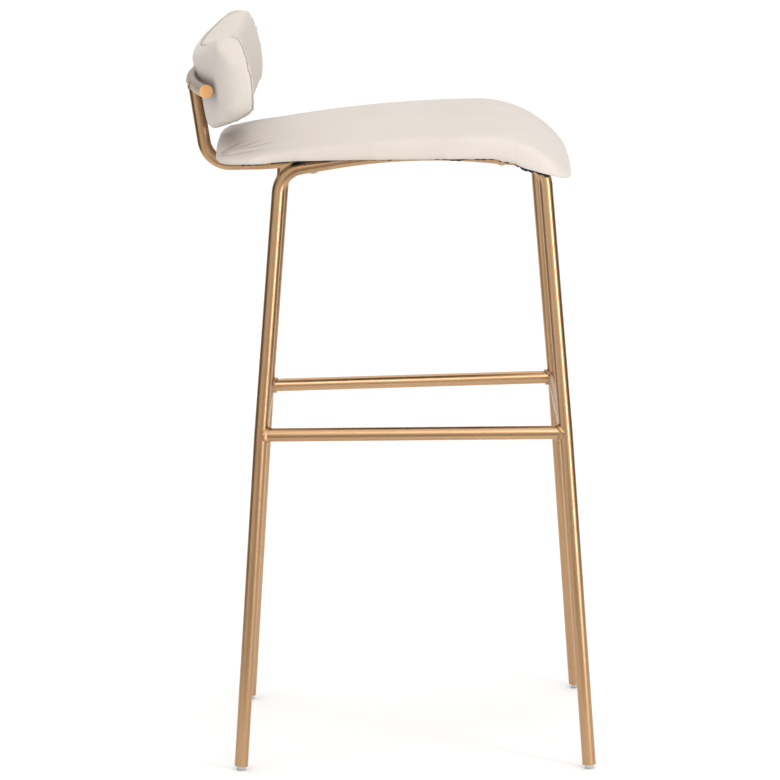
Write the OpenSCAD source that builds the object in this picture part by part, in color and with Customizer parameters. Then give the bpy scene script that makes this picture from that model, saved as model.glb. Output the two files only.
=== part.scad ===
// Bar stool with footrest: two flat bent side frames, a ring of foot rails,
// an upholstered saddle seat and a curved back pad on a single bent spine.
// Z is up, the floor is Z = 0, the sitter faces -Y and X = 0 is the middle plane.

/* [Tubes] */
// Outside diameter of every frame tube
tube_diameter = 16; // [14:0.5:18]
// Wall of every frame tube
tube_wall = 1.5; // [1:0.1:2.5]
// Centre-line radius of the tight tube bends
bend_radius = 32; // [26:1:36]
// Size of a weld bead round a tube joint
weld_size = 1.8; // [1:0.1:3]

/* [Legs and foot rails] */
// Height of the foot rails above the floor
rail_height = 403; // [340:1:440]
// Half the distance between the rear legs at the foot rails
rear_half_width = 186; // [170:1:200]
// Half the distance between the front legs at the foot rails
front_half_width = 209; // [195:1:215]
// Distance of the rear legs behind the middle at the foot rails
rear_leg_reach = 153; // [140:1:160]
// Distance of the front legs ahead of the middle at the foot rails
front_leg_reach = 207; // [195:1:212]
// Inward lean of each flat side frame, in degrees
frame_lean = 1.5; // [0:0.1:3]
// Extra reach of the rear foot beyond the rear end of the foot rail
rear_foot_kick = 32; // [20:1:40]
// Extra reach of the front foot beyond the front end of the foot rail
front_foot_kick = 22; // [15:1:30]
// Length of glide that shows below a leg
glide_height = 5; // [3:0.5:7]
// Diameter of the part of a glide that shows
glide_diameter = 10; // [8:0.5:12]

/* [Seat carrier] */
// Height of the rear top corner of a side frame above the foot rail
rear_corner_rise = 312.5; // [300:0.5:320]
// Height of the middle of the arched run above the foot rail, before rounding
arch_rise = 336.7; // [330:0.1:340]
// Height of the front top corner of a side frame above the foot rail
front_corner_rise = 320; // [310:0.5:325]
// Radius of the long arch in each side frame under the seat
arch_radius = 700; // [600:10:760]
// Height of the spine where it runs under the back of the seat
spine_height = 705; // [702:0.5:706]
// Rearward lean of the spine behind the back pad, in degrees
spine_lean = 7.9; // [6:0.1:9]

/* [Back support] */
// Height of the curved bar behind the back pad
bar_height = 811; // [805:1:816]
// Distance of the middle of the bar behind the middle of the stool
bar_reach = 229; // [227:0.5:231]
// Radius of the curved bar in plan
bar_radius = 768; // [700:10:820]
// Half the width of the curved bar
bar_half_width = 180; // [165:1:185]

/* [Seat] */
// Height of the crown of the seat
seat_height = 768; // [766:1:772]
// Distance of the rear edge of the seat behind the middle
seat_rear = 205; // [203:0.5:206]
// Distance of the front edge of the seat ahead of the middle
seat_front = 223; // [220:1:226]
// Half the width of the seat at the rear corners
seat_rear_half = 207; // [204:1:212]
// Half the width of the seat at the front corners
seat_front_half = 222; // [220:1:228]
// Thickness of the moulded plywood seat board
board_thickness = 8; // [6:0.5:9]
// Thickness of the upholstery cover
cover_thickness = 1.2; // [1:0.1:1.5]
// Diameter of the shanks of the fixing screws
screw_diameter = 6; // [5:0.5:6]

/* [Back pad] */
// Width of the back pad over its rounded ends
pad_width = 440; // [420:1:450]
// Thickness of the back pad at its middle
pad_thickness = 46; // [40:1:52]
// Rearward lean of the back pad, in degrees
pad_lean = 9; // [7:0.5:11]
// Height of the bottom edge of the back pad at its middle
pad_bottom = 746; // [742:1:750]
// Height of the top edge of the back pad at its middle
pad_top = 857; // [850:1:862]

/* [Hidden] */

brass = [0.72, 0.55, 0.36];
leather = [0.86, 0.83, 0.79];
wood = [0.80, 0.66, 0.45];
foam_yellow = [0.93, 0.88, 0.70];
steel = [0.72, 0.73, 0.75];
black = [0.10, 0.10, 0.10];
clear_plastic = [0.88, 0.89, 0.88];

tube_radius = tube_diameter / 2;
bore_radius = tube_radius - tube_wall;
fit_gap = 0.05;
joint_gap = 0.2;
round_steps = 120;

// flat side frame, drawn in its own plane: first value is rearward, second is up,
// and the origin is the middle of the joint between the rear leg and the foot rail
plan_turn = atan2(front_half_width - rear_half_width, rear_leg_reach + front_leg_reach);
knee_span = norm([front_half_width - rear_half_width, rear_leg_reach + front_leg_reach]);
leg_drop = (rail_height - glide_height) / cos(frame_lean);
side_points = [
    [rear_foot_kick, -leg_drop],
    [0, 0],
    [-29.3, rear_corner_rise],
    [-186, arch_rise],
    [-knee_span + 21.5, front_corner_rise],
    [-knee_span, 0],
    [-knee_span - front_foot_kick, -leg_drop],
];
side_radii = [0, 0, bend_radius, arch_radius, bend_radius, 0, 0];

// spine, drawn in the middle plane in the same way but with true heights
spine_corner = bar_reach - (bar_height - spine_height) * tan(spine_lean);
front_bar = side_point(-290, height_on(3, -290));
rear_bar = side_point(-68, height_on(2, -68));
spine_rise = 3;
spine_points = [
    [front_bar[1], spine_height + (150 - front_bar[1]) * tan(spine_rise)],
    [150, spine_height],
    [spine_corner, spine_height],
    [bar_reach, bar_height],
];
spine_radii = [0, 0, bend_radius, 0];

// underside of the seat board: two slopes, the arch and the front roll
board_gap = 1.5;
arch = bend_data(side_points, side_radii, 3);
arch_centre = side_point(arch[0][0], arch[0][1]);
arch_base = arch_radius + tube_radius + board_gap;
rear_slope = 90 - arch[1];
front_slope = arch[1] + arch[2] - 90;
roll_radius = 55;
roll_start = [-150, arch_centre[2] + arch_base / cos(front_slope) - 101 * tan(front_slope)];
roll_centre = roll_start - roll_radius * [-sin(front_slope), cos(front_slope)];
roll_end = 66;

// upper outline of the seat in the middle plane
crown_y = -105;
crown_radius = 1550;
nose_radius = 128;
nose_centre = [-115, seat_height - nose_radius];
tip_radius = 10;
tip_angle = asin((seat_front - tip_radius + nose_centre[0]) / (nose_radius - tip_radius));
tip_centre = nose_centre + (nose_radius - tip_radius) * [-sin(tip_angle), cos(tip_angle)];
cross_radius = 1800;
rim_width = 11;
rim_height = 727;
nose_height = 701;

// back pad: one section swept about an axis that tips back, so the ends rise as they come forward
sweep_tip = 36;
sweep_radius = 559;
front_radius = 900;
bow_radius = 520;
end_round = 38;
pad_middle = [
    bar_reach - tube_radius - 0.3 - pad_thickness / 2 / cos(pad_lean) - 9 * tan(pad_lean),
    (pad_top + pad_bottom) / 2,
];
pad_turn = asin((pad_width + 20) / 2 / sweep_radius);
seam_depth = 9;
back_board_face = 15;
back_board_half = 42;
back_board_turn = 16.5;
bolt_turn = 7.2;

tab_width = 26;
tab_thickness = 3;
tab_hole = 21;

function unit(v) = v / norm(v);

// centre, start angle, turn, start point and end point of the bend at corner i
function bend_data(points, radii, i) =
    let (
        inward = unit(points[i] - points[i - 1]),
        outward = unit(points[i + 1] - points[i]),
        turn = acos(inward * outward),
        side = sign(inward[0] * outward[1] - inward[1] * outward[0]),
        reach = radii[i] * tan(turn / 2),
        start = points[i] - reach * inward,
        end = points[i] + reach * outward,
        centre = start + side * radii[i] * [-inward[1], inward[0]],
        first = side > 0 ? start - centre : end - centre
    )
    [centre, atan2(first[1], first[0]), turn, start, end];

// each straight with the bend that follows it: [length, turn, bend radius]
function bend_steps(points, radii) = [
    for (i = [0:len(points) - 2])
        let (more = i < len(points) - 2, bend = more ? bend_data(points, radii, i + 1) : 0)
        [norm(run_end(points, radii, i) - run_start(points, radii, i)),
         more ? bend[2] : 0, more ? radii[i + 1] : 0]
];

function run_start(points, radii, i) = i == 0 ? points[0] : bend_data(points, radii, i)[4];

function run_end(points, radii, i) =
    i == len(points) - 2 ? points[i + 1] : bend_data(points, radii, i + 1)[3];

// height of the side frame centre line at a distance along one of its straight runs
function height_on(i, along) =
    let (a = side_points[i], b = side_points[i + 1])
    a[1] + (b[1] - a[1]) * (along - a[0]) / (b[0] - a[0]);

// a point of the right side frame in the frame of the stool
function side_point(along, up) = [
    rear_half_width - up * sin(frame_lean) * cos(plan_turn) - along * sin(plan_turn),
    rear_leg_reach - up * sin(frame_lean) * sin(plan_turn) + along * cos(plan_turn),
    rail_height + up * cos(frame_lean),
];

function arc_points(centre, radius, from, to, steps) = [
    for (i = [0:steps])
        let (a = from + (to - from) * i / steps)
        centre + radius * [sin(a), cos(a)]
];

// the underside of the seat board, moved outwards by lift
function board_line(lift) = concat(
    [
        [seat_rear - rim_width - 1, 723.5 + lift],
        [112, 728.3 + lift],
    ],
    arc_points([arch_centre[1], arch_centre[2]], arch_base + lift, rear_slope, -front_slope, 14),
    arc_points(roll_centre, roll_radius + lift, -front_slope, -roll_end, 10)
);

// the side outline of the whole seat, moved inwards by inset
function seat_outline(inset) = concat(
    [[seat_rear - rim_width - 1, 721.5 + inset], [seat_rear - 4 - 0.7 * inset, 725 + 0.7 * inset],
     [seat_rear - inset, 730]],
    arc_points([seat_rear - 15, 731], 15 - inset, 90, 8, 6),
    arc_points([crown_y, seat_height - crown_radius], crown_radius - inset, 10.7, 0, 14),
    arc_points(nose_centre, nose_radius - inset, 0, -tip_angle, 14),
    arc_points(tip_centre, tip_radius - inset, -tip_angle, -180, 10),
    [[-192, nose_height + inset], [-150, rim_height - 6 + inset], [-125, rim_height + inset],
     [60, rim_height + inset], [112, rim_height - 0.8 + inset]]
);

// the seat in plan, moved inwards by inset
function seat_plan(inset) = concat(
    arc_points([seat_rear_half - 66, seat_rear - 62], 62 - inset, 0, 86, 10),
    arc_points([seat_front_half - 46, -seat_front + 46], 46 - inset, 94, 180, 9),
    arc_points([-seat_front_half + 46, -seat_front + 46], 46 - inset, 180, 266, 9),
    arc_points([-seat_rear_half + 66, seat_rear - 62], 62 - inset, 274, 360, 10)
);

// a rectangle with rounded corners, as points
function soft_box(half_x, half_y, corner, steps) = [
    for (c = [[1, 1, 0], [1, -1, 90], [-1, -1, 180], [-1, 1, 270]])
        for (i = [0:steps])
            let (a = c[2] + 90 * i / steps)
            [c[0] * (half_x - corner) + corner * sin(a), c[1] * (half_y - corner) + corner * cos(a)]
];

// a round bar between two points in space
module rod(a, b, radius) {
    d = b - a;
    translate(a)
        rotate([0, acos(d[2] / norm(d)), atan2(d[1], d[0])])
            cylinder(h = norm(d), r = radius, $fn = round_steps);
}

// a round bar that starts along Z and then bends towards -Y, one straight and one bend at a time;
// the pieces stop just short of each joint and a short collar bridges them
module bent_rod(steps, radius, over, i = 0) {
    straight = steps[i][0];
    turn = steps[i][1];
    bend = steps[i][2];
    last = i == len(steps) - 1;
    low = i == 0 ? -over : joint_gap;
    high = last ? straight + over : straight - joint_gap;
    translate([0, 0, low]) cylinder(h = high - low, r = radius, $fn = round_steps);
    if (!last)
        translate([0, 0, straight]) {
            joint_collar(radius);
            if (bend > 0)
                translate([0, -bend, 0]) {
                    spare = joint_gap / bend * 180 / PI;
                    rotate([spare, 0, 0])
                        rotate([90, 0, 90])
                            rotate_extrude(angle = turn - 2 * spare, $fn = round_steps)
                                translate([bend, 0])
                                    circle(r = radius, $fn = round_steps);
                    rotate([turn, 0, 0])
                        translate([0, bend, 0]) {
                            joint_collar(radius);
                            bent_rod(steps, radius, over, i + 1);
                        }
                }
            else
                rotate([turn, 0, 0]) bent_rod(steps, radius, over, i + 1);
        }
}

module joint_collar(radius) {
    cylinder(h = 6 * joint_gap, r = radius + fit_gap, center = true, $fn = round_steps);
}

// a tube along a bent line, open at both ends; points are [Y, Z] and the first run goes up or down
module bent_tube(points, radii) {
    first = unit(points[1] - points[0]);
    steps = bend_steps(points, radii);
    translate([0, points[0][0], points[0][1]])
        rotate([-atan2(first[0], first[1]), 0, 0])
            difference() {
                bent_rod(steps, tube_radius, 0);
                bent_rod(steps, bore_radius, 1);
            }
}

// places a shape drawn in the plane of the right side frame
module in_side_plane() {
    translate([rear_half_width, rear_leg_reach, rail_height])
        rotate([0, -frame_lean, plan_turn])
            children();
}

// repeats a shape of the right side on the left
module both_sides() {
    children();
    mirror([1, 0, 0]) children();
}

module side_frame() {
    in_side_plane() bent_tube(side_points, side_radii);
}

// straight stand-ins for the two right legs, used to shape the ends that meet them
module right_legs(radius) {
    in_side_plane()
        for (ends = [[0, 1], [2, 1], [4, 5], [6, 5]]) {
            far = side_points[ends[0]];
            knee = side_points[ends[1]];
            past = knee + 20 * unit(knee - far);
            rod([0, far[0], far[1]], [0, past[0], past[1]], radius);
        }
}

// straight stand-ins for the two runs of the right side frame that carry the crossbars
module right_runs(radius) {
    in_side_plane()
        for (along = [-68, -290])
            tab_frame(along)
                rotate([90, 0, 0])
                    cylinder(h = 44, r = radius, center = true, $fn = round_steps);
}

module side_rail_core(radius) {
    rod(side_point(0, 0), side_point(-knee_span, 0), radius);
}

module front_rail_core(radius) {
    rod([-front_half_width, -front_leg_reach, rail_height],
        [front_half_width, -front_leg_reach, rail_height], radius);
}

module rear_rail_core(radius) {
    rod([-rear_half_width, rear_leg_reach, rail_height],
        [rear_half_width, rear_leg_reach, rail_height], radius);
}

module side_rail() {
    difference() {
        side_rail_core(tube_radius);
        side_rail_core(bore_radius);
        right_legs(tube_radius + fit_gap);
    }
}

module front_foot_rail() {
    color(brass)
        difference() {
            front_rail_core(tube_radius);
            front_rail_core(bore_radius);
            both_sides() right_legs(tube_radius + fit_gap);
            both_sides() side_rail_core(tube_radius + 3 * fit_gap);
        }
}

module rear_foot_rail() {
    color(brass)
        difference() {
            rear_rail_core(tube_radius);
            rear_rail_core(bore_radius);
            both_sides() right_legs(tube_radius + fit_gap);
            both_sides() side_rail_core(tube_radius + 3 * fit_gap);
        }
}

// one ring of weld round a rail where it meets a leg
module rail_weld(from, to, leg_low, leg_high) {
    difference() {
        intersection() {
            rod(from, to, tube_radius + weld_size);
            rod(leg_low, leg_high, tube_radius + weld_size);
        }
        rod(from, to, tube_radius + fit_gap);
        right_legs(tube_radius + fit_gap);
    }
}

module foot_rail_welds() {
    rear = side_point(0, 0);
    front = side_point(-knee_span, 0);
    rear_low = side_point(side_points[0][0], side_points[0][1]);
    rear_high = side_point(side_points[2][0], side_points[2][1]);
    front_low = side_point(side_points[6][0], side_points[6][1]);
    front_high = side_point(side_points[4][0], side_points[4][1]);
    color(brass)
        both_sides() {
            difference() {
                rail_weld(rear + unit(front - rear) * 4, front, rear_low, rear_high);
                rear_rail_core(tube_radius + fit_gap);
            }
            difference() {
                rail_weld(rear, front - unit(front - rear) * 4, front_low, front_high);
                front_rail_core(tube_radius + fit_gap);
            }
        }
}

module glide(i) {
    tip = side_points[i];
    inner = side_points[i == 0 ? 1 : i - 1];
    axis = unit(tip - inner);
    plug = tip - axis * 18;
    neck = tip + axis * (glide_height + 3);
    intersection() {
        in_side_plane()
            union() {
                rod([0, plug[0], plug[1]], [0, tip[0], tip[1]], bore_radius - fit_gap);
                rod([0, tip[0], tip[1]], [0, neck[0], neck[1]], glide_diameter / 2);
            }
        translate([150, -300, 0]) cube([150, 600, 60]);
    }
}

module crossbar(middle) {
    difference() {
        rod([-middle[0], middle[1], middle[2]], middle, tube_radius);
        rod([-middle[0], middle[1], middle[2]], middle, bore_radius);
        both_sides() right_runs(tube_radius + fit_gap);
    }
}

// slope of the side frame at a seat tab, in degrees
function tab_slope(along) = along > -150 ? -rear_slope : front_slope;

// the frame of a seat tab: origin on the tube centre line, square to the run there
module tab_frame(along) {
    on_run = along > -150 ? height_on(2, along) : height_on(3, along);
    translate([0, along, on_run])
        rotate([tab_slope(along), 0, 0])
            children();
}

module on_tabs() {
    both_sides()
        in_side_plane()
            for (along = [-86, -286])
                tab_frame(along) children();
}

module seat_tabs() {
    color(brass)
        on_tabs()
            difference() {
                translate([-34, -tab_width / 2, tube_radius - tab_thickness])
                    cube([32, tab_width, tab_thickness]);
                rotate([90, 0, 0])
                    cylinder(h = 60, r = tube_radius + fit_gap, center = true, $fn = round_steps);
                translate([-tab_hole, 0, 0])
                    cylinder(h = 20, d = screw_diameter + 0.8, $fn = 48);
            }
}

module cross_weld(middle) {
    inner = middle - [40, 0, 0];
    difference() {
        intersection() {
            rod(inner, middle - [3, 0, 0], tube_radius + weld_size);
            right_runs(tube_radius + weld_size + 0.6);
        }
        rod(inner - [2, 0, 0], middle + [2, 0, 0], tube_radius + fit_gap);
        right_runs(tube_radius + 3 * fit_gap);
    }
}

module crossbar_welds() {
    color(brass) {
        both_sides() cross_weld(front_bar);
        both_sides() cross_weld(rear_bar);
    }
}

// straight stand-ins for the upright and for the run of the spine
module spine_core(radius) {
    lean = [0, sin(spine_lean), cos(spine_lean)];
    rise = [0, -cos(spine_rise), sin(spine_rise)];
    top = [0, bar_reach, bar_height];
    front = [0, spine_points[0][0], spine_points[0][1]];
    rod(top - 60 * lean, top + 12 * lean, radius);
    rod(front - 240 * rise, front + 12 * rise, radius);
}

module bar_core(radius) {
    sweep = asin(bar_half_width / bar_radius);
    translate([0, bar_reach - bar_radius, bar_height])
        rotate([0, 0, 90 - sweep])
            rotate_extrude(angle = 2 * sweep, $fn = 2 * round_steps)
                translate([bar_radius, 0])
                    circle(r = radius, $fn = round_steps);
}

module crossbar_cores(radius) {
    for (middle = [front_bar, rear_bar])
        rod([-middle[0], middle[1], middle[2]], middle, radius);
}

module back_spine() {
    color(brass)
        difference() {
            bent_tube(spine_points, spine_radii);
            bar_core(tube_radius + fit_gap);
            crossbar_cores(tube_radius + fit_gap);
        }
}

// repeats a shape at each back fixing screw: origin on the bar, Y points forwards
module at_back_screws() {
    for (turn = [-bolt_turn, bolt_turn])
        translate([0, bar_reach - bar_radius, bar_height])
            rotate([0, 0, turn])
                translate([0, bar_radius, 0])
                    rotate([0, 0, 180])
                        children();
}

module back_bar() {
    color(brass)
        difference() {
            bar_core(tube_radius);
            bar_core(bore_radius);
            at_back_screws()
                rotate([90, 0, 0])
                    cylinder(h = 40, d = screw_diameter + 0.6, center = true, $fn = 48);
        }
}

module bar_end_caps() {
    sweep = asin(bar_half_width / bar_radius);
    color(brass)
        for (turn = [-sweep, sweep])
            translate([0, bar_reach - bar_radius, bar_height])
                rotate([0, 0, turn])
                    translate([0, bar_radius, 0])
                        rotate([0, turn > 0 ? -90 : 90, 0])
                            translate([0, 0, fit_gap])
                                cylinder(h = 1.2, r = tube_radius, $fn = round_steps);
}

module back_welds() {
    color(brass) {
        difference() {
            intersection() {
                spine_core(tube_radius + weld_size);
                bar_core(tube_radius + weld_size + 0.6);
                translate([-30, 200, bar_height - 24]) cube([60, 60, 20]);
            }
            spine_core(tube_radius + fit_gap);
            bar_core(tube_radius + 3 * fit_gap);
        }
        difference() {
            intersection() {
                spine_core(tube_radius + weld_size);
                crossbar_cores(tube_radius + weld_size + 0.6);
                translate([-30, spine_points[0][0] + 2, 650]) cube([60, 300, 100]);
            }
            spine_core(tube_radius + fit_gap);
            crossbar_cores(tube_radius + 3 * fit_gap);
        }
    }
}

// extrudes an outline given as [Y, Z] points along X
module across(points, half) {
    translate([-half, 0, 0])
        rotate([90, 0, 90])
            linear_extrude(2 * half) polygon(points);
}

// the outside of the seat, moved inwards by inset
module seat_shape(inset) {
    intersection() {
        across(seat_outline(inset), 240);
        linear_extrude(800) polygon(seat_plan(inset));
        translate([0, 0, seat_height - cross_radius])
            rotate([90, 0, 0])
                rotate([0, 0, 80])
                    seat_crown(inset);
    }
}

// everything under the crowned top of the seat, as a turned shape lying along Y
module seat_crown(inset) {
    low = cross_radius - 90;
    rotate_extrude(angle = 20, $fn = 4 * round_steps)
        polygon(concat(
            [[low, seat_front + 10], [low, -seat_rear - 10]],
            [for (p = arc_points([crown_y, 0], crown_radius - inset, 12, 0, 14))
                [p[1] - crown_radius + cross_radius, -p[0]]],
            [for (p = arc_points([nose_centre[0], 0], nose_radius - inset, 0, -70, 14))
                [p[1] - nose_radius + cross_radius, -p[0]]]
        ));
}

// the hollow under the seat that the frame sits in
module seat_hollow(inset) {
    intersection() {
        across(concat(board_line(0), [[-160, 640], [seat_rear - rim_width - 1, 640]]), 240);
        linear_extrude(800) polygon(seat_plan(inset));
    }
}

module board_shape(lift) {
    intersection() {
        across(concat(
            board_line(-lift),
            [for (i = [len(board_line(0)) - 1:-1:0]) board_line(board_thickness + lift)[i]]
        ), 240);
        linear_extrude(800) polygon(seat_plan(rim_width + 1 - lift));
    }
}

module seat_board() {
    color(wood)
        difference() {
            board_shape(0);
            on_tabs()
                translate([-tab_hole, 0, 0]) cylinder(h = 60, d = 8, $fn = 48);
        }
}

module seat_foam() {
    color(foam_yellow)
        difference() {
            seat_shape(cover_thickness + 0.1);
            board_shape(0.1);
            seat_hollow(rim_width);
            on_tabs()
                translate([-tab_hole, 0, tube_radius])
                    cylinder(h = 13, d = 20, $fn = 48);
        }
}

module seat_cover() {
    color(leather)
        difference() {
            seat_shape(0);
            seat_shape(cover_thickness);
            seat_hollow(rim_width);
            translate([0, 0, 600])
                linear_extrude(120) polygon(seat_plan(rim_width));
        }
}

module dust_sheet() {
    line = board_line(-0.2);
    under = board_line(-1);
    last = len(line) - 6;
    intersection() {
        across(concat(
            [for (i = [1:last]) line[i]],
            [for (i = [last:-1:1]) under[i]]
        ), 240);
        linear_extrude(800) polygon(seat_plan(rim_width + 3));
    }
}

module dust_cover() {
    color(black)
        difference() {
            dust_sheet();
            on_tabs()
                translate([-tab_hole, 0, 0]) cylinder(h = 60, d = 9, $fn = 48);
        }
}

// staples through the dust cover, spaced along both sides of the arch
module dust_cover_staples() {
    color(steel)
        both_sides()
            for (turn = [-5:1.5:7])
                translate([176 - turn * 0.9, arch_centre[1], arch_centre[2]])
                    rotate([-turn, 0, 0])
                        translate([-0.6, -5, arch_base - 1.9])
                            cube([1.2, 10, 0.8]);
}

module seat_screws() {
    color(steel)
        on_tabs()
            translate([-tab_hole, 0, 0]) {
                translate([0, 0, -0.6]) cylinder(h = 4, d = 11, $fn = 48);
                translate([0, 0, 3]) cylinder(h = 13, d = screw_diameter, $fn = 48);
            }
}

module seat_washers() {
    color(steel)
        on_tabs()
            translate([-tab_hole, 0, 3.5])
                difference() {
                    cylinder(h = 1.4, d = 14, $fn = 48);
                    translate([0, 0, -1]) cylinder(h = 4, d = screw_diameter + 0.4, $fn = 48);
                }
}

module seat_tee_nuts() {
    color(steel)
        on_tabs()
            translate([-tab_hole, 0, tube_radius + board_gap])
                difference() {
                    union() {
                        translate([0, 0, 1]) cylinder(h = 8, d = 7.8, $fn = 48);
                        translate([0, 0, board_thickness + 0.6]) cylinder(h = 1.4, d = 18, $fn = 48);
                    }
                    translate([0, 0, -1]) cylinder(h = 14, d = screw_diameter + 0.1, $fn = 48);
                }
}

// the frame of the back pad sweep: its axis is Z and the middle of the pad lies along Y
module in_pad_sweep() {
    translate([0, pad_middle[0], pad_middle[1]])
        rotate([-sweep_tip, 0, 0])
            translate([0, -sweep_radius, 0])
                children();
}

// sweeps a section of the back pad by a half angle to each side
module pad_sweep(half_angle) {
    in_pad_sweep()
        rotate([0, 0, 90 - half_angle])
            rotate_extrude(angle = 2 * half_angle, $fn = 2 * round_steps)
                translate([sweep_radius, 0])
                    rotate(sweep_tip - pad_lean)
                        children();
}

// the front view of the back pad about its own middle: square at the top, bowed along the bottom
function pad_outline(inset) =
    let (
        half = pad_width / 2,
        bow_height = bow_radius - 65,
        corner = [half - 30, bow_height - sqrt(pow(bow_radius - 30, 2) - pow(half - 30, 2))],
        turn = atan2(corner[0], corner[1] - bow_height)
    )
    concat(
        arc_points([half - 44, 20], 44 - inset, 0, 90, 8),
        arc_points(corner, 30 - inset, 90, turn, 6),
        arc_points([0, bow_height], bow_radius - inset, turn, 360 - turn, 24),
        arc_points([-corner[0], corner[1]], 30 - inset, 360 - turn, 270, 6),
        arc_points([-half + 44, 20], 44 - inset, 270, 360, 8)
    );

// the plan of the back pad behind its ends, with round rear corners
function pad_plan(inset) =
    let (
        half = pad_width / 2,
        corner = [half - end_round, bar_reach - 36 - end_round],
        right = arc_points(corner, end_round - inset, 90, 26, 8),
        left = arc_points([-corner[0], corner[1]], end_round - inset, -26, -90, 8),
        ridge = [0, right[8][1] + right[8][0] * tan(26)]
    )
    concat([[half - inset, 0]], right, [ridge], left, [[inset - half, 0]]);

// the outside of the back pad, moved inwards by inset
module pad_shape(inset) {
    intersection() {
        pad_sweep(pad_turn)
            polygon(soft_box(pad_thickness / 2 - inset,
                             (pad_top - pad_bottom) / 2 / cos(pad_lean) - inset, 19 - inset, 6));
        translate([0, 260, pad_middle[1] + 11])
            rotate([90, 0, 0])
                linear_extrude(180) polygon(pad_outline(inset));
        behind_front_curve(inset);
        translate([0, 0, bar_height])
            multmatrix([[1, 0, 0, 0], [0, 1, tan(pad_lean), 0], [0, 0, 1, 0]])
                linear_extrude(200, center = true) polygon(pad_plan(inset));
    }
}

// everything behind a flatter front curve, which thins the ends of the back pad
module behind_front_curve(inset) {
    in_pad_sweep()
        translate([0, sweep_radius - front_radius, 0])
            rotate([0, 0, 90 - 20])
                rotate_extrude(angle = 40, $fn = 3 * round_steps)
                    translate([front_radius, 0])
                        rotate(sweep_tip - pad_lean)
                            translate([inset - pad_thickness / 2 - 2, -100])
                                square([110, 200]);
}

module board_sweep(lift) {
    pad_sweep(back_board_turn + lift / 10)
        translate([back_board_face - board_thickness - lift, -back_board_half - lift])
            square([board_thickness + 2 * lift, 2 * back_board_half + 2 * lift]);
}

module back_board() {
    color(wood)
        difference() {
            board_sweep(0);
            at_back_screws()
                rotate([-90, 0, 0]) cylinder(h = 40, d = 9, $fn = 48);
        }
}

module back_foam() {
    color(foam_yellow)
        difference() {
            pad_shape(cover_thickness + 0.1);
            board_sweep(0.1);
            at_back_screws()
                rotate([-90, 0, 0]) {
                    cylinder(h = 30, d = 9, $fn = 48);
                    translate([0, 0, 20]) cylinder(h = 11, d = 19.5, $fn = 48);
                }
        }
}

// the skin of the back pad
module pad_skin() {
    difference() {
        pad_shape(0);
        pad_shape(cover_thickness);
        at_back_screws()
            rotate([-90, 0, 0]) cylinder(h = 22, d = 9, $fn = 48);
    }
}

// everything in front of the seam of the back pad
module ahead_of_seam(gap) {
    pad_sweep(30)
        translate([-60 - seam_depth + gap, -90]) square([60, 180]);
}

module back_front_cover() {
    color(leather)
        intersection() {
            pad_skin();
            ahead_of_seam(0);
        }
}

module back_rear_cover() {
    color(leather)
        difference() {
            pad_skin();
            ahead_of_seam(0.1);
        }
}

module back_screws() {
    color(steel)
        at_back_screws() {
            difference() {
                translate([0, -9.2, 0])
                    rotate([-90, 0, 0]) cylinder(h = 6, d = 10, $fn = 48);
                rotate([0, 90, 0])
                    cylinder(h = 20, r = tube_radius + fit_gap, center = true, $fn = round_steps);
            }
            translate([0, -8, 0])
                rotate([-90, 0, 0]) cylinder(h = 35, d = screw_diameter, $fn = 48);
        }
}

module back_tee_nuts() {
    color(steel)
        at_back_screws()
            rotate([-90, 0, 0])
                difference() {
                    union() {
                        translate([0, 0, 18]) cylinder(h = 9, d = 8, $fn = 48);
                        translate([0, 0, 27.6]) cylinder(h = 1.4, d = 18, $fn = 48);
                        translate([0, 0, 26]) cylinder(h = 2, d = 8, $fn = 48);
                    }
                    translate([0, 0, 10])
                        cylinder(h = 30, d = screw_diameter + 0.1, $fn = 48);
                }
}

module left_side_frame() {
    color(brass) mirror([1, 0, 0]) side_frame();
}

module right_side_frame() {
    color(brass) side_frame();
}

module left_foot_rail() {
    color(brass) mirror([1, 0, 0]) side_rail();
}

module right_foot_rail() {
    color(brass) side_rail();
}

module front_left_glide() {
    color(clear_plastic) mirror([1, 0, 0]) glide(6);
}

module front_right_glide() {
    color(clear_plastic) glide(6);
}

module rear_left_glide() {
    color(clear_plastic) mirror([1, 0, 0]) glide(0);
}

module rear_right_glide() {
    color(clear_plastic) glide(0);
}

module front_crossbar() {
    color(brass) crossbar(front_bar);
}

module rear_crossbar() {
    color(brass) crossbar(rear_bar);
}

left_side_frame();
right_side_frame();
left_foot_rail();
right_foot_rail();
front_foot_rail();
rear_foot_rail();
foot_rail_welds();
front_left_glide();
front_right_glide();
rear_left_glide();
rear_right_glide();
front_crossbar();
rear_crossbar();
seat_tabs();
crossbar_welds();
back_spine();
back_bar();
bar_end_caps();
back_welds();
seat_board();
seat_foam();
seat_cover();
dust_cover();
dust_cover_staples();
seat_screws();
seat_washers();
seat_tee_nuts();
back_board();
back_foam();
back_front_cover();
back_rear_cover();
back_screws();
back_tee_nuts();
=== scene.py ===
import math

import bpy
import bmesh
from mathutils import Matrix, Vector
from mathutils.bvhtree import BVHTree
from mathutils.kdtree import KDTree


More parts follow.
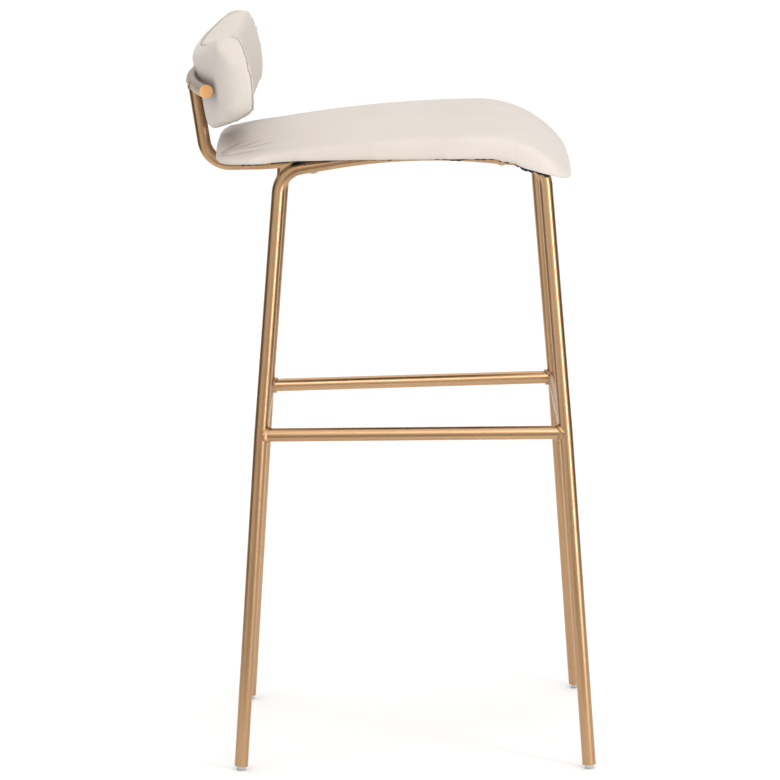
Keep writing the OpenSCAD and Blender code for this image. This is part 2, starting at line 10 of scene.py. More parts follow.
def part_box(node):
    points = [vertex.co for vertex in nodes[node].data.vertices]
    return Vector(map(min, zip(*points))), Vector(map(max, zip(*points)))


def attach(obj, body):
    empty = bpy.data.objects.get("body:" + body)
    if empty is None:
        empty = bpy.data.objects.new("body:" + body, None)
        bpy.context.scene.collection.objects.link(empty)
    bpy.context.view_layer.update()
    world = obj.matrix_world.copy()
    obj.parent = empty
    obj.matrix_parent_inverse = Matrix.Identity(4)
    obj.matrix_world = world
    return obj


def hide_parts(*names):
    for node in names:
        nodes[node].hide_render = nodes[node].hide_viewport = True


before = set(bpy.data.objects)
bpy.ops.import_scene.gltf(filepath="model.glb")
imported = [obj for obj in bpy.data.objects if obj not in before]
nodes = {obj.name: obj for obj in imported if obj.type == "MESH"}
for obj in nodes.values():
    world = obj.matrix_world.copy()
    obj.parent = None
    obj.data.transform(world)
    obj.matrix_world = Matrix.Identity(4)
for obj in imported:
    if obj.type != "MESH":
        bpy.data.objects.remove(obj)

mm = 1000  # millimetres in a metre
scene = bpy.context.scene
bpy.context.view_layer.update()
print("frame loaded,", len(nodes), "nodes")


def ramp(value, start, span):
    return min(1.0, max(0.0, (value - start) / span))


def bell(distance, width):
    return math.exp(-(distance / width) ** 2)


def linked(name, mesh):
    piece = bpy.data.objects.new(name, mesh)
    scene.collection.objects.link(piece)
    return piece


def treeOf(mesh):  # nearest-point and ray queries on a mesh
    bm = bmesh.new()
    bm.from_mesh(mesh)
    tree = BVHTree.FromBMesh(bm)
    bm.free()
    return tree


def baked(piece):  # applies the modifiers of a piece
    graph = bpy.context.evaluated_depsgraph_get()
    mesh = bpy.data.meshes.new_from_object(piece.evaluated_get(graph))
    piece.modifiers.clear()
    old = piece.data
    piece.data = mesh
    bpy.data.meshes.remove(old)


def newGroup(name, inputs, outputs):
    group = bpy.data.node_groups.new(name, "ShaderNodeTree")
    for label, kind, value in inputs:
        socket = group.interface.new_socket(label, in_out="INPUT", socket_type=kind)
        if value is not None:
            socket.default_value = value
    for label, kind in outputs:
        group.interface.new_socket(label, in_out="OUTPUT", socket_type=kind)
    return group, group.nodes.new("NodeGroupInput"), group.nodes.new("NodeGroupOutput")


def noiseNode(tree, vector, scale, detail, rough=0.5):
    node = tree.nodes.new("ShaderNodeTexNoise")
    node.inputs["Scale"].default_value = scale
    node.inputs["Detail"].default_value = detail
    node.inputs["Roughness"].default_value = rough
    tree.links.new(vector, node.inputs["Vector"])
    return node.outputs["Fac"]


def rangeNode(tree, value, fromMin, fromMax, toMin, toMax):
    node = tree.nodes.new("ShaderNodeMapRange")
    node.inputs["From Min"].default_value = fromMin
    node.inputs["From Max"].default_value = fromMax
    node.inputs["To Min"].default_value = toMin
    node.inputs["To Max"].default_value = toMax
    tree.links.new(value, node.inputs["Value"])
    return node.outputs["Result"]


def mathNode(tree, operation, a, b):
    node = tree.nodes.new("ShaderNodeMath")
    node.operation = operation
    for socket, value in zip(node.inputs, (a, b)):
        if isinstance(value, (int, float)):
            socket.default_value = value
        else:
            tree.links.new(value, socket)
    return node.outputs["Value"]


def mixColour(tree, factor, a, b):
    node = tree.nodes.new("ShaderNodeMix")
    node.data_type = "RGBA"
    for socket, value in zip((node.inputs["Factor"], node.inputs[6], node.inputs[7]), (factor, a, b)):
        if isinstance(value, (int, float)):
            socket.default_value = value
        elif isinstance(value, tuple):
            socket.default_value = (*value, 1)
        else:
            tree.links.new(value, socket)
    return node.outputs[2]


def scaled(tree, vector, scale):
    node = tree.nodes.new("ShaderNodeMapping")
    node.inputs["Scale"].default_value = scale
    tree.links.new(vector, node.inputs["Vector"])
    return node.outputs["Vector"]


def brushGroup():  # fine lengthwise lines and slow darker streaks
    group, enter, leave = newGroup(
        "brushedMetal",
        [("Vector", "NodeSocketVector", None), ("Base", "NodeSocketColor", (0.5, 0.4, 0.3, 1)),
         ("Dark", "NodeSocketColor", (0.4, 0.3, 0.2, 1)), ("Roughness", "NodeSocketFloat", 0.3)],
        [("Color", "NodeSocketColor"), ("Roughness", "NodeSocketFloat"), ("Height", "NodeSocketFloat")])
    hair = noiseNode(group, enter.outputs["Vector"], 900.0, 3.0, 0.6)
    blotch = noiseNode(group, enter.outputs["Vector"], 22.0, 4.0, 0.6)
    tone = rangeNode(group, blotch, 0.35, 0.7, 0.0, 0.8)
    tone = mathNode(group, "MULTIPLY", tone, rangeNode(group, hair, 0.3, 0.7, 0.5, 1.0))
    colour = mixColour(group, tone, enter.outputs["Base"], enter.outputs["Dark"])
    group.links.new(colour, leave.inputs["Color"])
    spread = rangeNode(group, hair, 0.3, 0.7, -0.05, 0.06)
    group.links.new(mathNode(group, "ADD", enter.outputs["Roughness"], spread), leave.inputs["Roughness"])
    group.links.new(hair, leave.inputs["Height"])
    return group


def leatherGroup():  # small cells with a fine grain and slow colour clouds
    group, enter, leave = newGroup(
        "softLeather",
        [("Vector", "NodeSocketVector", None), ("Base", "NodeSocketColor", (0.7, 0.7, 0.6, 1)),
         ("Deep", "NodeSocketColor", (0.6, 0.5, 0.5, 1)), ("Grain", "NodeSocketFloat", 1.0)],
        [("Color", "NodeSocketColor"), ("Roughness", "NodeSocketFloat"), ("Height", "NodeSocketFloat")])
    cells = group.nodes.new("ShaderNodeTexVoronoi")
    cells.feature = "DISTANCE_TO_EDGE"
    cells.inputs["Scale"].default_value = 620.0
    group.links.new(enter.outputs["Vector"], cells.inputs["Vector"])
    cellEdge = rangeNode(group, cells.outputs["Distance"], 0.0, 0.25, 0.0, 1.0)
    fine = noiseNode(group, enter.outputs["Vector"], 260.0, 4.0, 0.6)
    cloud = noiseNode(group, enter.outputs["Vector"], 9.0, 3.0, 0.5)
    tone = rangeNode(group, cloud, 0.35, 0.7, 0.0, 0.55)
    tone = mathNode(group, "ADD", tone, rangeNode(group, cellEdge, 0.0, 1.0, 0.18, 0.0))
    group.links.new(mixColour(group, tone, enter.outputs["Base"], enter.outputs["Deep"]), leave.inputs["Color"])
    group.links.new(rangeNode(group, fine, 0.3, 0.7, 0.5, 0.62), leave.inputs["Roughness"])
    height = mathNode(group, "ADD", mathNode(group, "MULTIPLY", cellEdge, 0.5), fine)
    group.links.new(mathNode(group, "MULTIPLY", height, enter.outputs["Grain"]), leave.inputs["Height"])
    return group


brushed = brushGroup()
hide = leatherGroup()


def shaderMaterial(name):
    material = bpy.data.materials.new(name)
    material.use_nodes = True
    tree = material.node_tree
    shader = tree.nodes["Principled BSDF"]
    coords = tree.nodes.new("ShaderNodeTexCoord").outputs["Object"]
    return material, tree, shader, coords


def bumped(tree, shader, height, strength, distance):
    bump = tree.nodes.new("ShaderNodeBump")
    bump.inputs["Strength"].default_value = strength
    bump.inputs["Distance"].default_value = distance
    tree.links.new(height, bump.inputs["Height"])
    tree.links.new(bump.outputs["Normal"], shader.inputs["Normal"])


brassLook = {"base": (0.55, 0.35, 0.195), "dark": (0.33, 0.185, 0.09), "roughness": 0.30}


def brassMaterial(name, grain, look=brassLook):
    material, tree, shader, coords = shaderMaterial(name)
    node = tree.nodes.new("ShaderNodeGroup")
    node.node_tree = brushed
    node.inputs["Base"].default_value = (*look["base"], 1)
    node.inputs["Dark"].default_value = (*look["dark"], 1)
    node.inputs["Roughness"].default_value = look["roughness"]
    tree.links.new(scaled(tree, coords, grain), node.inputs["Vector"])
    tree.links.new(node.outputs["Color"], shader.inputs["Base Color"])
    tree.links.new(node.outputs["Roughness"], shader.inputs["Roughness"])
    shader.inputs["Metallic"].default_value = 1.0
    bumped(tree, shader, node.outputs["Height"], 0.12, 0.0002)
    return material


leatherLook = {"base": (0.60, 0.55, 0.50), "deep": (0.55, 0.49, 0.44), "grain": 1.0, "bump": 0.25}


def leatherMaterial(name, look=leatherLook):
    material, tree, shader, coords = shaderMaterial(name)
    node = tree.nodes.new("ShaderNodeGroup")
    node.node_tree = hide
    node.inputs["Base"].default_value = (*look["base"], 1)
    node.inputs["Deep"].default_value = (*look["deep"], 1)
    node.inputs["Grain"].default_value = look["grain"]
    tree.links.new(coords, node.inputs["Vector"])
    # painted shade: the attribute darkens the leather toward this colour in fold hollows, along the seam and
    # beside the bar
    shade = tree.nodes.new("ShaderNodeAttribute")
    shade.attribute_name = "paintedShade"
    depth = rangeNode(tree, shade.outputs["Fac"], 0.0, 1.0, 0.0, 0.75)
    colour = mixColour(tree, depth, node.outputs["Color"], (0.30, 0.25, 0.22))
    tree.links.new(colour, shader.inputs["Base Color"])
    tree.links.new(node.outputs["Roughness"], shader.inputs["Roughness"])
    shader.inputs["Specular IOR Level"].default_value = 0.35
    shader.inputs["Sheen Weight"].default_value = 0.08
    bumped(tree, shader, node.outputs["Height"], look["bump"], 0.0004)
    return material


def noisyMaterial(name, look):
    material, tree, shader, coords = shaderMaterial(name)
    grain = noiseNode(tree, scaled(tree, coords, look["stretch"]), look["scale"], 4.0, 0.6)
    tone = rangeNode(tree, grain, 0.35, 0.65, 0.0, 1.0)
    tree.links.new(mixColour(tree, tone, look["base"], look["second"]), shader.inputs["Base Color"])
    tree.links.new(rangeNode(tree, grain, 0.3, 0.7, *look["roughness"]), shader.inputs["Roughness"])
    shader.inputs["Metallic"].default_value = look["metallic"]
    shader.inputs["Transmission Weight"].default_value = look.get("clear", 0.0)
    bumped(tree, shader, grain, look["bump"], 0.0005)
    return material


alongZ = brassMaterial("brassAlongZ", (1.0, 1.0, 0.03))
alongY = brassMaterial("brassAlongY", (1.0, 0.03, 1.0))
alongX = brassMaterial("brassAlongX", (0.03, 1.0, 1.0))
weldLook = {"base": (0.60, 0.38, 0.21), "dark": (0.40, 0.22, 0.11), "roughness": 0.38}
weldMetal = brassMaterial("brassWeld", (1.0, 1.0, 1.0), weldLook)
barLook = {"base": (0.33, 0.24, 0.165), "dark": (0.20, 0.14, 0.09), "roughness": 0.33}
barMetal = brassMaterial("brassBar", (0.03, 1.0, 1.0), barLook)
cutLook = {"base": (0.78, 0.44, 0.19), "dark": (0.68, 0.35, 0.14), "roughness": 0.45}
cutMetal = brassMaterial("brassCutEnd", (1.0, 1.0, 1.0), cutLook)
plyLook = {"base": (0.60, 0.42, 0.24), "second": (0.45, 0.29, 0.15), "stretch": (1, 0.1, 6), "scale": 40.0,
           "roughness": (0.55, 0.75), "metallic": 0.0, "bump": 0.2}
clothLook = {"base": (0.012, 0.012, 0.013), "second": (0.03, 0.03, 0.03), "stretch": (1, 1, 1), "scale": 700.0,
             "roughness": (0.8, 0.95), "metallic": 0.0, "bump": 0.5}
steelLook = {"base": (0.58, 0.59, 0.60), "second": (0.48, 0.49, 0.51), "stretch": (1, 1, 1), "scale": 300.0,
             "roughness": (0.25, 0.4), "metallic": 1.0, "bump": 0.1}
glideLook = {"base": (0.80, 0.80, 0.78), "second": (0.70, 0.70, 0.68), "stretch": (1, 1, 1), "scale": 120.0,
             "roughness": (0.25, 0.4), "metallic": 0.0, "bump": 0.05, "clear": 0.55}
foamLook = {"base": (0.80, 0.72, 0.45), "second": (0.72, 0.62, 0.36), "stretch": (1, 1, 1), "scale": 500.0,
            "roughness": (0.8, 0.95), "metallic": 0.0, "bump": 0.4}
plyMaterial = noisyMaterial("mouldedPly", plyLook)
clothAndRimShade = noisyMaterial("blackCloth", clothLook)
steelMaterial = noisyMaterial("zincSteel", steelLook)
glideMaterial = noisyMaterial("frostedGlide", glideLook)
foamMaterial = noisyMaterial("cutFoam", foamLook)
leatherPlain = leatherMaterial("leatherPlain")

finishes = {
    alongZ: ["left_side_frame", "right_side_frame", "back_spine"],
    alongY: ["left_foot_rail", "right_foot_rail"],
    alongX: ["front_foot_rail", "rear_foot_rail", "front_crossbar", "rear_crossbar", "seat_tabs"],
    barMetal: ["back_bar", "back_screws"],
    weldMetal: ["foot_rail_welds", "crossbar_welds", "back_welds"],
    cutMetal: ["bar_end_caps"],
    plyMaterial: ["seat_board", "back_board"],
    clothAndRimShade: ["dust_cover"],
    steelMaterial: ["dust_cover_staples", "seat_screws", "seat_washers", "seat_tee_nuts", "back_tee_nuts"],
    glideMaterial: ["front_left_glide", "front_right_glide", "rear_left_glide", "rear_right_glide"],
    foamMaterial: ["seat_foam", "back_foam"],
    leatherPlain: ["seat_cover", "back_front_cover", "back_rear_cover"],
}
for material, names in finishes.items():
    for name in names:
        mesh = nodes[name].data
        mesh.materials.clear()
        mesh.materials.append(material)
print("finishes set")


def cushion(name, sources, backing, look):  # joins CAD solids, remeshes, swells and smooths them
    solid = bmesh.new()
    for source in sources:
        part = bmesh.new()
        part.from_mesh(nodes[source].data)
        bmesh.ops.remove_doubles(part, verts=part.verts, dist=2e-5)
        bmesh.ops.recalc_face_normals(part, faces=part.faces)
        part.normal_update()
        for vert in part.verts:
            vert.co += vert.normal * look["grow"][source]
        grown = bpy.data.meshes.new("grown")
        part.to_mesh(grown)
        part.free()
        solid.from_mesh(grown)
        bpy.data.meshes.remove(grown)
    mesh = bpy.data.meshes.new(name)
    solid.to_mesh(mesh)
    solid.free()
    piece = linked(name, mesh)
    remesh = piece.modifiers.new("remesh", "REMESH")
    remesh.mode = "VOXEL"
    remesh.voxel_size = look["voxel"]
    baked(piece)
    relax(piece, look["before"])
    pins = piece.vertex_groups.new(name="pin")
    rest = [vert.co.copy() for vert in piece.data.vertices]
    held = []
    if backing:
        backingTree = treeOf(nodes[backing].data)
        held = [i for i, co in enumerate(rest) if backingTree.find_nearest(co)[3] < look["holdNear"]]
    pins.add(held, 1.0, "REPLACE")
    puff(piece, rest, look)
    relax(piece, look["after"])
    finer = piece.modifiers.new("finer", "SUBSURF")
    finer.levels = 1
    finer.render_levels = 1
    baked(piece)
    piece.data.shade_smooth()
    print(name, "made,", len(piece.data.polygons), "faces")
    return piece


def relax(piece, times):
    bm = bmesh.new()
    bm.from_mesh(piece.data)
    for _ in range(times):
        bmesh.ops.smooth_vert(bm, verts=bm.verts, factor=0.5, use_axis_x=True, use_axis_y=True, use_axis_z=True)
    bm.to_mesh(piece.data)
    bm.free()


def puff(piece, rest, look):  # cloth under pressure, with its travel capped
    cloth = piece.modifiers.new("cloth", "CLOTH")
    cloth.settings.quality = 5
    cloth.settings.use_pressure = True
    cloth.settings.uniform_pressure_force = look["pressure"]
    cloth.settings.vertex_group_mass = "pin"
    cloth.settings.effector_weights.gravity = 0.0
    cloth.settings.tension_stiffness = look["stiff"]
    cloth.settings.compression_stiffness = look["stiff"]
    cloth.point_cache.frame_start = 1
    cloth.point_cache.frame_end = 20
    for step in range(1, 21):
        scene.frame_set(step)
    baked(piece)
    scene.frame_set(1)
    for i, vert in enumerate(piece.data.vertices):
        move = vert.co - rest[i]
        if move.length > look["cap"]:
            vert.co = rest[i] + move * (look["cap"] / move.length)


seatLook = {"grow": {"seat_foam": 0.0013, "seat_board": 0.0}, "voxel": 0.005, "holdNear": 0.005,
            "pressure": 4.0, "stiff": 15.0, "cap": 0.0010, "before": 2, "after": 2}
padLook = {"grow": {"back_foam": 0.0013, "back_board": 0.001}, "voxel": 0.0042, "holdNear": 0.003,
           "pressure": 4.0, "stiff": 15.0, "cap": 0.0015, "before": 1, "after": 1}
seat = cushion("seat_cushion", ("seat_foam", "seat_board"), "dust_cover", seatLook)
backPad = cushion("back_pad", ("back_foam", "back_board"), None, padLook)


def roundEdge(piece, corner, radius, towards):  # pulls a lower edge in to an arc in the YZ plane
    for vert in piece.data.vertices:
        y, z = vert.co.y - corner[0], vert.co.z - corner[1]
        if y * towards > 0 and z < 0:
            reach = math.hypot(y, z)
            if reach > radius:
                vert.co.y = corner[0] + y * radius / reach
                vert.co.z = corner[1] + z * radius / reach


seatLow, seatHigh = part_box("seat_cover")
seatEdges = {"noseRound": 0.0145, "noseDrop": 0.0515, "rearInset": 0.0225, "rearRound": 0.0215,
             "rearDrop": 0.0245}
noseCentre = (seatLow.y + seatEdges["noseRound"], seatHigh.z - seatEdges["noseDrop"])
rearCentre = (seatHigh.y - seatEdges["rearInset"], seatHigh.z - seatEdges["rearDrop"])
roundEdge(seat, noseCentre, seatEdges["noseRound"], -1)
roundEdge(seat, rearCentre, seatEdges["rearRound"], 1)
# underside of the nose: distance ahead of the rear edge, drop below the crown
noseLine = [(seatHigh.y - ahead, seatHigh.z - drop) for ahead, drop in
            ((0.355, 0.0475), (0.380, 0.0540), (0.395, 0.0585), (0.411, 0.0635), (0.435, 0.0680))]


def liftNose(piece, line):  # nothing hangs below the line
    for vert in piece.data.vertices:
        for (y1, z1), (y2, z2) in zip(line, line[1:]):
            if y2 <= vert.co.y < y1:
                vert.co.z = max(vert.co.z, z1 + (z2 - z1) * (y1 - vert.co.y) / (y1 - y2))


liftNose(seat, noseLine)

# folds gathered at the two rear corners of the seat: turn in plan from straight ahead, lift and width in mm
folds = [(-16, -1.2, 3.0), (3, 2.6, 3.2), (18, -2.8, 2.6), (31, 1.4, 2.4), (43, -2.6, 2.2), (55, 1.3, 2.4),
         (67, -2.4, 2.2), (80, 0.9, 2.4)]
foldSpot = {"behind": 8, "across": 157, "reach": 72, "drop": 0.038, "shade": 0.9}


def pleat(piece):  # raises and sinks the folds, and paints shade into their hollows for the leather
    mesh = piece.data
    paintedShade = mesh.attributes.new("paintedShade", "FLOAT", "POINT")
    normals = [vert.normal.copy() for vert in mesh.vertices]
    for i, vert in enumerate(mesh.vertices):
        ahead = (seatHigh.y - vert.co.y) * mm - foldSpot["behind"]
        inward = foldSpot["across"] - abs(vert.co.x) * mm
        reach = math.hypot(ahead, inward)
        if vert.co.z < seatHigh.z - foldSpot["drop"] or reach > foldSpot["reach"] or normals[i].z < -0.2:
            continue
        fade = (1 - reach / foldSpot["reach"]) ** 0.8 * min(1.0, reach / 7)
        turn = math.atan2(inward, ahead)
        lift = 0.0
        for direction, height, width in folds:
            spread = width * (0.6 + reach / 50)
            lift += height * bell((turn - math.radians(direction)) * max(reach, 12), spread)
        vert.co += normals[i] * (lift * fade / mm)
        # painted shade: the deeper the fold hollow, the darker the leather
        paintedShade.data[i].value = max(0.0, min(1.0, -lift * fade * foldSpot["shade"]))


pleat(seat)
print("corner folds made")


def seamLoop():  # outermost points where the two CAD covers meet, in order round the pad
    front = bmesh.new()
    front.from_mesh(nodes["back_front_cover"].data)
    rear = treeOf(nodes["back_rear_cover"].data)
    low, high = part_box("back_front_cover")
    middle = (low + high) / 2
    best = {}
    for vert in front.verts:
        if rear.find_nearest(vert.co)[3] < 0.00035:
            x, z = vert.co.x - middle.x, (vert.co.z - middle.z) * 2.5
            key = int(math.degrees(math.atan2(z, x)) // 2)
            if key not in best or math.hypot(x, z) > best[key][0]:
                best[key] = (math.hypot(x, z), vert.co.copy())
    front.free()
    return [best[key][1] for key in sorted(best)]


def evenly(points, step):  # the same closed line with points at equal spacing
    points = points + points[:1]
    lengths = [0.0]
    for a, b in zip(points, points[1:]):
        lengths.append(lengths[-1] + (b - a).length)
    count = max(8, round(lengths[-1] / step))
    result, at = [], 0
    for i in range(count):
        want = lengths[-1] * i / count
        while lengths[at + 1] < want:
            at += 1
        share = (want - lengths[at]) / max(lengths[at + 1] - lengths[at], 1e-9)
        result.append(points[at].lerp(points[at + 1], share))
    return result


def smoothed(points, times):
    for _ in range(times):
        points = [(points[i - 1] + points[i] * 2 + points[(i + 1) % len(points)]) / 4 for i in range(len(points))]
    return points


padLow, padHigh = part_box("back_foam")
padForm = {"rise": 0.0092, "ahead": 0.01836, "across": 0.0687, "slope": 0.436, "wing": 0.10, "soft": 0.009,
           "push": 0.0045, "pushFrom": 0.0572, "pushSpan": 0.045, "middle": 0.0437, "middleSpan": 0.08}


def shapePad(piece):  # slopes the underside up towards the front, and fills the upper rear
    normals = [vert.normal.copy() for vert in piece.data.vertices]
    for vert, normal in zip(piece.data.vertices, normals):
        x, y, z = vert.co
        lowest = padLow.z + padForm["rise"] + padForm["slope"] * (padHigh.y - padForm["ahead"] - y)
        lowest += padForm["wing"] * (abs(x) - padHigh.x + padForm["across"])
        over = (z - lowest) / padForm["soft"]
        if over < 1:
            vert.co.z = lowest + padForm["soft"] * math.exp(over - 1)
        rise = ramp(z, padLow.z + padForm["pushFrom"], padForm["pushSpan"])
        middle = ramp(padHigh.x - abs(x), padForm["middle"], padForm["middleSpan"])
        behind = ramp(normal.y, -0.2, 0.8)
        vert.co.y += padForm["push"] * rise * rise * (3 - 2 * rise) * middle * behind


shapePad(backPad)
padTree = treeOf(backPad.data)
seamForm = {"topFrom": 0.0832, "topSpan": 0.012, "endInset": 0.0287, "endSpan": 0.03, "move": (0, 0.026, 0.002)}


def behindTop(co):  # carries the seam over to the rear edge along the top
    high = ramp(co.z, padLow.z + seamForm["topFrom"], seamForm["topSpan"])
    high *= ramp(padHigh.x - abs(co.x), seamForm["endInset"], seamForm["endSpan"])
    return co + Vector(seamForm["move"]) * high


seam = [padTree.find_nearest(co)[0] for co in smoothed([behindTop(co) for co in evenly(seamLoop(), 0.003)], 8)]


sinkForm = {"depth": 1.1, "width": 1.8, "swell": 0.35, "swellAt": 4.5, "swellWidth": 2.0, "reach": 8,
            "seamShade": 0.55, "seamShadeWidth": 1.6, "barShade": 1.3, "barShadeWidth": 9.0}


# in mm: draws the leather in along the seam, and paints shade there and beside the bar
def sink(piece, line, barNode):
    finder = KDTree(len(line))
    for i, co in enumerate(line):
        finder.insert(co, i)
    finder.balance()
    bar = treeOf(nodes[barNode].data)
    mesh = piece.data
    paintedShade = mesh.attributes.new("paintedShade", "FLOAT", "POINT")
    normals = [vert.normal.copy() for vert in mesh.vertices]
    for i, vert in enumerate(mesh.vertices):
        away = finder.find(vert.co)[2] * mm
        barAway = bar.find_nearest(vert.co)[3] * mm
        # painted shade in the seam groove, and a painted contact shadow beside the back bar
        seamShade = sinkForm["seamShade"] * bell(away, sinkForm["seamShadeWidth"])
        paintedShade.data[i].value = max(seamShade, sinkForm["barShade"] * bell(barAway, sinkForm["barShadeWidth"]))
        if away < sinkForm["reach"]:
            swell = sinkForm["swell"] * bell(away - sinkForm["swellAt"], sinkForm["swellWidth"])
            vert.co += normals[i] * ((swell - sinkForm["depth"] * bell(away, sinkForm["width"])) / mm)


sink(backPad, seam, "back_bar")
padTree = treeOf(backPad.data)


def threadTube(name, line, radius):  # a thin round cord along a closed line
    curve = bpy.data.curves.new(name, "CURVE")
    curve.dimensions = "3D"
    curve.bevel_depth = radius
    curve.bevel_resolution = 2
    spline = curve.splines.new("POLY")
    spline.points.add(len(line) - 1)
    for point, co in zip(spline.points, line):
        point.co = (*co, 1)
    spline.use_cyclic_u = True
    holder = linked(name + "Line", curve)
    graph = bpy.context.evaluated_depsgraph_get()
    mesh = bpy.data.meshes.new_from_object(holder.evaluated_get(graph))
    bpy.data.objects.remove(holder)
    mesh.materials.clear()
    return linked(name, mesh)


def stitches(name, line, tree, look):  # a row of short stitches ahead of the seam
    bm = bmesh.new()
    count = len(line)
    for i in range(0, count, 2):
        along = (line[(i + 1) % count] - line[i - 1]).normalized()
        co, normal, _, _ = tree.find_nearest(line[i])
        side = normal.cross(along).normalized()
        if side.y > 0:
            side = -side
        spot, normal, _, _ = tree.find_nearest(line[i] + side * look["offset"])
        up = (normal - along * normal.dot(along)).normalized()
        turn = Matrix((along, up.cross(along), up)).transposed().to_4x4()
        shape = Matrix.Diagonal((look["length"] / 2, look["width"] / 2, look["width"] / 2, 1))
        bmesh.ops.create_icosphere(bm, subdivisions=1, radius=1.0,
                                   matrix=Matrix.Translation(spot) @ turn @ shape)
    mesh = bpy.data.meshes.new(name)
    bm.to_mesh(mesh)
    bm.free()
    mesh.shade_smooth()
    return linked(name, mesh)


stitchLook = {"offset": 0.0035, "length": 0.0042, "width": 0.0010, "cord": 0.0006}
# a dark cord along the seam: painted shade standing in for the shadow in its groove
seamShadeCord = threadTube("pad_seam_shade", [padTree.find_nearest(co)[0] for co in seam], stitchLook["cord"])
seamStitches = stitches("pad_stitches", seam, padTree, stitchLook)
print("seam made")


edgeForm = {"steps": 150, "rear": 0.025, "length": 0.372, "inset": 0.0065, "depth": 0.0026, "tuck": 0.0015,
            "lean": 0.0012, "thick": 0.0007}


def shadeStrip(name, tree, look):  # a ragged black strip below the rim on each side, deeper towards the front: painted shade under the rim
    bm = bmesh.new()
    steps = look["steps"]
    for side in (-1, 1):
        grid = bmesh.ops.create_grid(bm, x_segments=steps, y_segments=2, size=0.5)["verts"]
        columns = {}
        for vert in grid:
            columns.setdefault(round((vert.co.x + 0.5) * steps), []).append(vert)
        for step, column in columns.items():
            y = seatHigh.y - look["rear"] - look["length"] * step / steps
            hit = None
            for lift in range(14, 60, 2):  # looks in from the side, higher each time, until it meets the rim
                start = Vector((side * 0.3, y, seatHigh.z - 0.068 + lift / mm))
                hit = tree.ray_cast(start, Vector((-side, 0, 0)))[0]
                if hit is not None:
                    break
            x = side * (abs(hit.x) - look["inset"]) if hit is not None else side * 0.2
            under = tree.ray_cast(Vector((x, y, 0.6)), Vector((0, 0, 1)))[0]
            rim = under.z if under is not None else 0.72
            ragged = math.sin(step * 1.7) * 0.35 + math.sin(step * 0.61 + side) * 0.4
            ragged += math.sin(step * 4.3) * 0.25
            front = ramp(-y, -0.06, 0.2)
            drop = look["depth"] * (0.55 + 0.65 * front) * (1 + 0.55 * ragged)
            for vert in column:
                v = vert.co.y + 0.5
                z = rim + look["tuck"] - (drop + look["tuck"]) * (1 - v)
                vert.co = Vector((x - side * look["lean"] * v, y, z))
    mesh = bpy.data.meshes.new(name)
    bm.to_mesh(mesh)
    bm.free()
    edge = linked(name, mesh)
    thick = edge.modifiers.new("thick", "SOLIDIFY")
    thick.thickness = look["thick"]
    baked(edge)
    return edge


# a black strip standing in for the shade under the seat rim
rimShadeStrip = shadeStrip("rim_shade_strip", treeOf(seat.data), edgeForm)
print("cloth edge made")


def place(piece, slot, material, *replaced):  # finish, body and the CAD nodes it stands for; slot is not used
    piece.data.materials.clear()
    piece.data.materials.append(material)
    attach(piece, "root")
    if replaced:
        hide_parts(*replaced)


seatLeather = leatherMaterial("seatLeather")
padLeather = leatherMaterial("padLeather")
place(seat, "leather", seatLeather, "seat_foam", "seat_cover", "seat_board")
place(backPad, "leather", padLeather, "back_foam", "back_board", "back_front_cover", "back_rear_cover")
threadLook = {"base": (0.62, 0.57, 0.50), "second": (0.50, 0.45, 0.39), "stretch": (1, 1, 1), "scale": 900.0,
              "roughness": (0.6, 0.8), "metallic": 0.0, "bump": 0.3}
# dark cord colour: painted shade for the seam groove
seamShadeLook = {"base": (0.30, 0.27, 0.24), "second": (0.22, 0.20, 0.18), "stretch": (1, 1, 1), "scale": 600.0,
            "roughness": (0.6, 0.8), "metallic": 0.0, "bump": 0.3}
place(seamStitches, "leather", noisyMaterial("thread", threadLook))
place(seamShadeCord, "leather", noisyMaterial("seamShade", seamShadeLook))
# black cloth colour, used here as painted shade under the rim; the same material is the real dust cover
place(rimShadeStrip, "dust_cloth", clothAndRimShade)
print("cushions dressed")


floorLook = {"base": (0.90, 0.90, 0.90), "second": (0.88, 0.88, 0.88), "stretch": (1, 1, 1), "scale": 3.0,
             "roughness": (0.8, 0.9), "metallic": 0.0, "bump": 0.0}
cardLook = {"base": (0.10, 0.09, 0.08), "second": (0.12, 0.11, 0.10), "stretch": (1, 1, 1), "scale": 3.0,
            "roughness": (0.8, 0.9), "metallic": 0.0, "bump": 0.0}
floorMaterial = noisyMaterial("paleFloor", floorLook)
greyLook = {"base": (0.30, 0.29, 0.28), "second": (0.26, 0.25, 0.24), "stretch": (1, 1, 1), "scale": 3.0,
            "roughness": (0.8, 0.9), "metallic": 0.0, "bump": 0.0}
cardMaterial = noisyMaterial("darkCard", cardLook)
greyMaterial = noisyMaterial("greyCard", greyLook)


def stagePlane(name, centre, turn, size, material):  # cards show only in reflections
    bm = bmesh.new()
    bmesh.ops.create_grid(bm, x_segments=1, y_segments=1, size=0.5)
    spread = Matrix.Translation(centre) @ turn @ Matrix.Diagonal((*size, 1, 1))
    bmesh.ops.transform(bm, matrix=spread, verts=bm.verts)
    mesh = bpy.data.meshes.new(name)
    bm.to_mesh(mesh)
    bm.free()
    plane = linked(name, mesh)
    plane.data.materials.append(material)
    plane.visible_diffuse = name == "floor"
    plane.visible_camera = name == "floor"


standing = Matrix.Rotation(math.radians(90), 4, "X")
stagePlane("floor", (0, 0, 0), Matrix.Identity(4), (120, 120), floorMaterial)
stagePlane("cardRear", (0.2, 1.6, 0.8), standing, (1.6, 1.6), cardMaterial)
stagePlane("cardFront", (0.2, -1.6, 0.8), standing, (1.6, 1.6), cardMaterial)
stagePlane("cardLow", (-2.9, 0.1, 0.002), Matrix.Identity(4), (4.4, 1.7), greyMaterial)


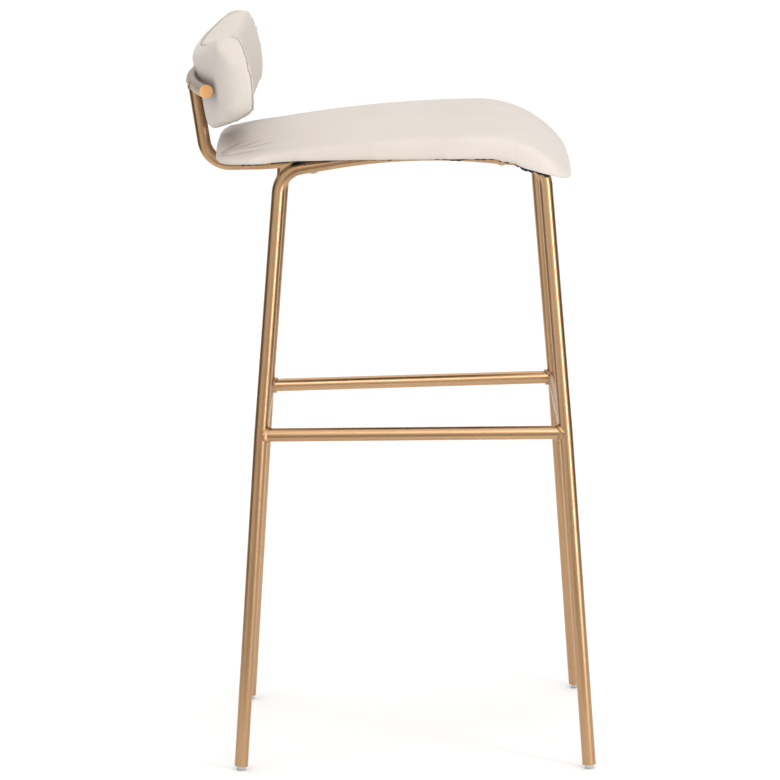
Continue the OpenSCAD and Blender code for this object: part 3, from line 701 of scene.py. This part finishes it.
def areaLight(name, where, target, size, power):
    data = bpy.data.lights.new(name, "AREA")
    data.shape = "RECTANGLE"
    data.size, data.size_y = size
    data.energy = power
    lamp = bpy.data.objects.new(name, data)
    scene.collection.objects.link(lamp)
    lamp.location = where
    lamp.rotation_euler = (Vector(target) - Vector(where)).to_track_quat("-Z", "Y").to_euler()


lampAim = (0, 0, 0.5)
areaLight("keyLight", (-3.8, -0.5, 2.4), lampAim, (1.8, 1.8), 26)
areaLight("stripLight", (-1.8, -1.7, 0.62), lampAim, (0.35, 1.2), 12)


skyLook = {"level": 0.42, "overhead": 0.75, "near": 0.30, "far": 0.25, "tint": (1.0, 0.99, 0.98)}


def studioWorld():  # even light, brighter overhead and on the near and far sides
    world = bpy.data.worlds.new("studio")
    world.use_nodes = True
    tree = world.node_tree
    axes = tree.nodes.new("ShaderNodeSeparateXYZ")
    tree.links.new(tree.nodes.new("ShaderNodeTexCoord").outputs["Generated"], axes.inputs["Vector"])
    overhead = rangeNode(tree, axes.outputs["Z"], 0.35, 0.85, 0.0, skyLook["overhead"])
    nearSide = rangeNode(tree, axes.outputs["X"], -0.35, -0.9, 0.0, skyLook["near"])
    farSide = rangeNode(tree, axes.outputs["X"], 0.5, 0.95, 0.0, skyLook["far"])
    sides = mathNode(tree, "ADD", farSide, skyLook["level"])
    level = mathNode(tree, "ADD", mathNode(tree, "ADD", overhead, nearSide), sides)
    back = tree.nodes["Background"]
    tree.links.new(level, back.inputs["Strength"])
    back.inputs["Color"].default_value = (*skyLook["tint"], 1)
    scene.world = world


studioWorld()
scene.view_settings.view_transform = "Standard"
scene.view_settings.exposure = 0.35

cameraPlace = {"at": (-6.0751, -0.010, 1.4035), "yaw": 0.09, "down": 9.16, "roll": -1.15, "lens": 233.26}
yaw, down, roll = (math.radians(cameraPlace[key]) for key in ("yaw", "down", "roll"))
ahead = Vector((math.cos(yaw) * math.cos(down), math.sin(yaw) * math.cos(down), -math.sin(down)))
right = ahead.cross(Vector((0, 0, 1))).normalized()
upward = right.cross(ahead)
turnedRight = right * math.cos(roll) + upward * math.sin(roll)
turnedUp = upward * math.cos(roll) - right * math.sin(roll)
view = bpy.data.cameras.new("view")
view.lens = cameraPlace["lens"]
view.sensor_width = 36.0
view.clip_end = 200.0
camera = bpy.data.objects.new("view", view)
scene.collection.objects.link(camera)
turned = Matrix((turnedRight, turnedUp, -ahead)).transposed().to_4x4()
camera.matrix_world = Matrix.Translation(cameraPlace["at"]) @ turned
scene.camera = camera

print("studio ready")
